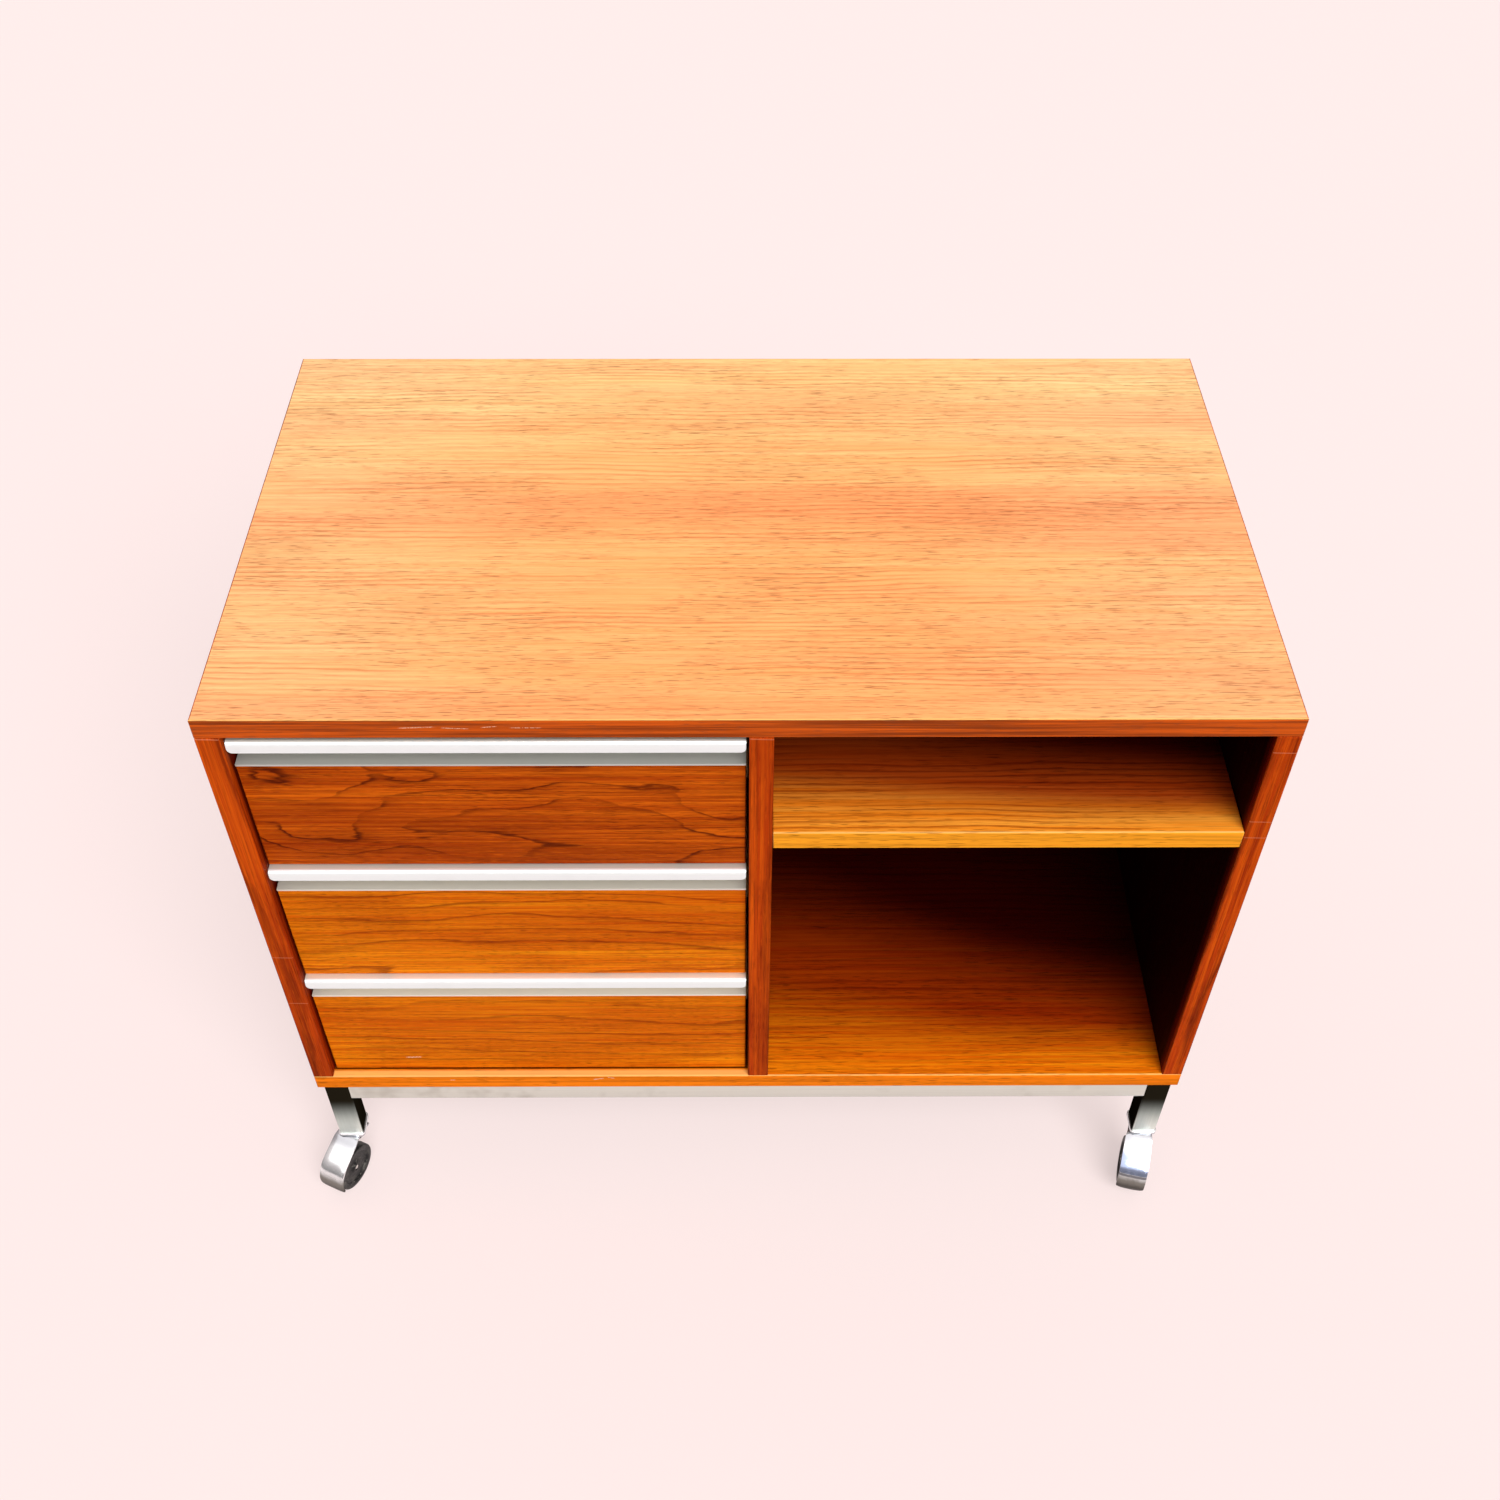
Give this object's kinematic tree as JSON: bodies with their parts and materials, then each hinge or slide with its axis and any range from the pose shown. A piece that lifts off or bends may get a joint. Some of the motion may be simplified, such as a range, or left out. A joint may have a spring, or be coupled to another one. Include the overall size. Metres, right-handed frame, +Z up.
{
  "type": "rolling storage cabinet",
  "caption": "Low wide wooden storage cabinet on casters, with a stack of drawers with full-width metal pulls beside open shelved bays.",
  "frame": {"origin": "on the floor, under the middle of the carcass, which is the middle of the whole box", "axes": "+X along the width, to the right of someone facing the front; +Y towards the back; +Z up"},
  "size_m": [0.9164, 0.5838, 0.702],
  "materials": {
    "honey_teak": "oiled teak veneer, honey coloured, grain along the width",
    "red_teak": "lacquered teak, red brown, grain upright",
    "front_teak": "lacquered teak veneer, orange brown, grain along the width",
    "plain_board": "stained plywood",
    "drawer_birch": "clear lacquered birch",
    "runner_beech": "waxed beech",
    "satin_aluminium": "satin anodised",
    "brushed_steel": "brushed nickel plated steel tube",
    "bright_chrome": "bright chrome plate",
    "axle_steel": "turned steel",
    "wheel_plastic": "hard black nylon"
  },
  "bodies": {
    "cabinet": {"top_panel": "honey_teak", "bottom_panel": "front_teak", "left_side_panel": "red_teak", "right_side_panel": "red_teak", "divider_panel": "red_teak", "back_panel": "plain_board", "shelf": "front_teak", "front_rail": "satin_aluminium", "rear_rail": "satin_aluminium", "left_rail": "brushed_steel", "right_rail": "brushed_steel", "leg_front_left": "brushed_steel", "leg_cap_front_left": "bright_chrome", "leg_front_right": "brushed_steel", "leg_cap_front_right": "bright_chrome", "leg_rear_right": "brushed_steel", "leg_cap_rear_right": "bright_chrome", "leg_rear_left": "brushed_steel", "leg_cap_rear_left": "bright_chrome", "runner_1_left": "runner_beech", "runner_1_right": "runner_beech", "runner_2_left": "runner_beech", "runner_2_right": "runner_beech", "runner_3_left": "runner_beech", "runner_3_right": "runner_beech"},
    "drawer_1": {"drawer_1_front": "front_teak", "drawer_1_pull": "satin_aluminium", "drawer_1_left_side": "drawer_birch", "drawer_1_right_side": "drawer_birch", "drawer_1_back": "drawer_birch", "drawer_1_floor": "drawer_birch"},
    "drawer_2": {"drawer_2_front": "front_teak", "drawer_2_pull": "satin_aluminium", "drawer_2_left_side": "drawer_birch", "drawer_2_right_side": "drawer_birch", "drawer_2_back": "drawer_birch", "drawer_2_floor": "drawer_birch"},
    "drawer_3": {"drawer_3_front": "front_teak", "drawer_3_pull": "satin_aluminium", "drawer_3_left_side": "drawer_birch", "drawer_3_right_side": "drawer_birch", "drawer_3_back": "drawer_birch", "drawer_3_floor": "drawer_birch"},
    "caster_front_left": {"caster_front_left_hood": "bright_chrome", "caster_front_left_axle": "axle_steel"},
    "wheel_front_left_left": {"caster_front_left_wheel_left": "wheel_plastic"},
    "wheel_front_left_right": {"caster_front_left_wheel_right": "wheel_plastic"},
    "caster_front_right": {"caster_front_right_hood": "bright_chrome", "caster_front_right_axle": "axle_steel"},
    "wheel_front_right_left": {"caster_front_right_wheel_left": "wheel_plastic"},
    "wheel_front_right_right": {"caster_front_right_wheel_right": "wheel_plastic"},
    "caster_rear_right": {"caster_rear_right_hood": "bright_chrome", "caster_rear_right_axle": "axle_steel"},
    "wheel_rear_right_left": {"caster_rear_right_wheel_left": "wheel_plastic"},
    "wheel_rear_right_right": {"caster_rear_right_wheel_right": "wheel_plastic"},
    "caster_rear_left": {"caster_rear_left_hood": "bright_chrome", "caster_rear_left_axle": "axle_steel"},
    "wheel_rear_left_left": {"caster_rear_left_wheel_left": "wheel_plastic"},
    "wheel_rear_left_right": {"caster_rear_left_wheel_right": "wheel_plastic"}
  },
  "joints": [
    {"name": "drawer_1_slide", "type": "slide", "parent": "cabinet", "child": "drawer_1", "axis": [0, -1, 0], "range_m": [0, 0.36]},
    {"name": "drawer_2_slide", "type": "slide", "parent": "cabinet", "child": "drawer_2", "axis": [0, -1, 0], "range_m": [0, 0.36]},
    {"name": "drawer_3_slide", "type": "slide", "parent": "cabinet", "child": "drawer_3", "axis": [0, -1, 0], "range_m": [0, 0.36]},
    {"name": "caster_front_left_swivel", "type": "hinge", "parent": "cabinet", "child": "caster_front_left", "pos_m": [-0.422, -0.2355, 0.068], "axis": [0, 0, 1], "continuous": true},
    {"name": "wheel_front_left_left_spin", "type": "hinge", "parent": "caster_front_left", "child": "wheel_front_left_left", "pos_m": [-0.43256, -0.25816, 0.026], "axis": [0.9063, -0.4226, 0], "continuous": true},
    {"name": "wheel_front_left_right_spin", "type": "hinge", "parent": "caster_front_left", "child": "wheel_front_left_right", "pos_m": [-0.43256, -0.25816, 0.026], "axis": [0.9063, -0.4226, 0], "continuous": true},
    {"name": "caster_front_right_swivel", "type": "hinge", "parent": "cabinet", "child": "caster_front_right", "pos_m": [0.422, -0.2355, 0.068], "axis": [0, 0, 1], "continuous": true},
    {"name": "wheel_front_right_left_spin", "type": "hinge", "parent": "caster_front_right", "child": "wheel_front_right_left", "pos_m": [0.41595, -0.25976, 0.026], "axis": [0.9703, -0.2419, 0], "continuous": true},
    {"name": "wheel_front_right_right_spin", "type": "hinge", "parent": "caster_front_right", "child": "wheel_front_right_right", "pos_m": [0.41595, -0.25976, 0.026], "axis": [0.9703, -0.2419, 0], "continuous": true},
    {"name": "caster_rear_right_swivel", "type": "hinge", "parent": "cabinet", "child": "caster_rear_right", "pos_m": [0.422, 0.2355, 0.068], "axis": [0, 0, 1], "continuous": true},
    {"name": "wheel_rear_right_left_spin", "type": "hinge", "parent": "caster_rear_right", "child": "wheel_rear_right_left", "pos_m": [0.43256, 0.25816, 0.026], "axis": [-0.9063, 0.4226, 0], "continuous": true},
    {"name": "wheel_rear_right_right_spin", "type": "hinge", "parent": "caster_rear_right", "child": "wheel_rear_right_right", "pos_m": [0.43256, 0.25816, 0.026], "axis": [-0.9063, 0.4226, 0], "continuous": true},
    {"name": "caster_rear_left_swivel", "type": "hinge", "parent": "cabinet", "child": "caster_rear_left", "pos_m": [-0.422, 0.2355, 0.068], "axis": [0, 0, 1], "continuous": true},
    {"name": "wheel_rear_left_left_spin", "type": "hinge", "parent": "caster_rear_left", "child": "wheel_rear_left_left", "pos_m": [-0.41595, 0.25976, 0.026], "axis": [-0.9703, 0.2419, 0], "continuous": true},
    {"name": "wheel_rear_left_right_spin", "type": "hinge", "parent": "caster_rear_left", "child": "wheel_rear_left_right", "pos_m": [-0.41595, 0.25976, 0.026], "axis": [-0.9703, 0.2419, 0], "continuous": true}
  ]
}
